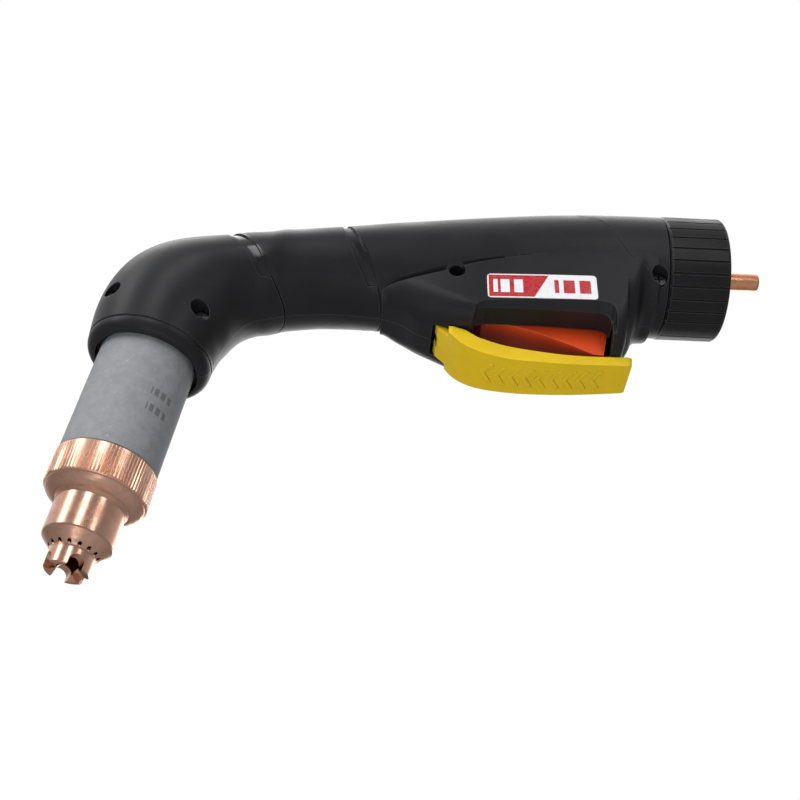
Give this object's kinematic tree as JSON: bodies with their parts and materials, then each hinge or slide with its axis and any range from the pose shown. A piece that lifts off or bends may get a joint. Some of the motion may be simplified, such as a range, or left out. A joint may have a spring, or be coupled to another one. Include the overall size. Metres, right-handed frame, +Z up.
{
  "type": "plasma cutting torch",
  "caption": "Handheld angled-head cutting torch with moulded handle, guarded trigger, flip safety lever, screw-on cap and copper consumables.",
  "frame": {"origin": "on the handle axis, centre of the coupling nut's rear face", "axes": "+X along the handle towards the lead, +Z up away from the trigger, -Y is the rating plate side; the head points down at the -X end"},
  "size_m": [0.2384, 0.0444, 0.1498],
  "materials": {
    "handle_black": "fine moulded texture, satin",
    "nut_black": "satin moulded",
    "cap_grey": "matte, slightly mottled insulating sleeve",
    "copper": "machined and polished copper",
    "tube_copper": "drawn copper tube",
    "brass": "machined brass",
    "lever_yellow": "moulded, semi-gloss",
    "trigger_orange": "moulded, semi-gloss",
    "plate_print": "printed red and white film with no lettering",
    "screw_zinc": "zinc plated",
    "spring_steel": "drawn spring wire",
    "insulator": "dense brown insulator",
    "seal_rubber": "moulded ring",
    "switch_case": "moulded",
    "switch_red": "moulded",
    "wire_jacket": "flexible insulation",
    "emitter": "hard emitter metal"
  },
  "bodies": {
    "housing": {"handle_shell_left": "handle_black", "handle_shell_right": "handle_black", "rear_collar": "handle_black", "lead_gland": "seal_rubber", "lead_tube": "tube_copper", "rating_plate": "plate_print", "shell_screws": "screw_zinc", "collar_screws": "screw_zinc", "nut_snap_ring": "spring_steel", "trigger_pin": "spring_steel", "lever_pin": "spring_steel", "microswitch_body": "switch_case", "switch_leads": "wire_jacket", "pilot_lead": "wire_jacket", "torch_head_body": "brass", "head_insulator": "insulator", "cathode_body": "brass", "start_spring": "spring_steel", "o_ring": "seal_rubber"},
    "coupling_nut": {"coupling_nut": "nut_black"},
    "safety_lever": {"safety_lever": "lever_yellow", "lever_spring": "spring_steel"},
    "trigger": {"trigger": "trigger_orange", "trigger_spring": "spring_steel"},
    "switch_button": {"switch_button": "switch_red"},
    "electrode": {"electrode": "copper", "emitter_insert": "emitter"},
    "nozzle_stack": {"nozzle": "copper", "swirl_ring": "insulator"},
    "retaining_cap": {"retaining_cap_sleeve": "cap_grey", "retaining_cap_liner": "brass"},
    "shield": {"shield": "copper"}
  },
  "joints": [
    {"name": "nut_turn", "type": "hinge", "parent": "housing", "child": "coupling_nut", "pos_m": [0, 0, 0], "axis": [1, 0, 0], "continuous": true},
    {"name": "safety_lever_flip", "type": "hinge", "parent": "housing", "child": "safety_lever", "pos_m": [-0.0986, 0, -0.0309], "axis": [0, 1, 0], "range_deg": [0, 58]},
    {"name": "trigger_press", "type": "hinge", "parent": "housing", "child": "trigger", "pos_m": [-0.086, 0, -0.024], "axis": [0, -1, 0], "range_deg": [0, 6], "deforming": ["trigger_spring"]},
    {"name": "switch_button_press", "type": "slide", "parent": "housing", "child": "switch_button", "axis": [0, 0, 1], "range_m": [0, 0.00126]},
    {"name": "electrode_blowback", "type": "slide", "parent": "housing", "child": "electrode", "axis": [0.184, 0, 0.9829], "range_m": [0, 0.002]},
    {"name": "nozzle_travel", "type": "slide", "parent": "housing", "child": "nozzle_stack", "axis": [-0.184, 0, -0.9829], "range_m": [0, 0.01201]},
    {"name": "cap_unscrew", "type": "hinge", "parent": "nozzle_stack", "child": "retaining_cap", "pos_m": [-0.188, 0, 0], "axis": [-0.184, 0, -0.9829], "range_deg": [0, 2880]},
    {"name": "shield_turn", "type": "hinge", "parent": "retaining_cap", "child": "shield", "pos_m": [-0.188, 0, 0], "axis": [-0.184, 0, -0.9829], "continuous": true}
  ],
  "couplings": [
    {"joint": "switch_button_press", "follows": "trigger_press", "m_per_rad": 0.0119},
    {"joint": "nozzle_travel", "follows": "cap_unscrew", "m_per_rad": 0.00023873}
  ]
}
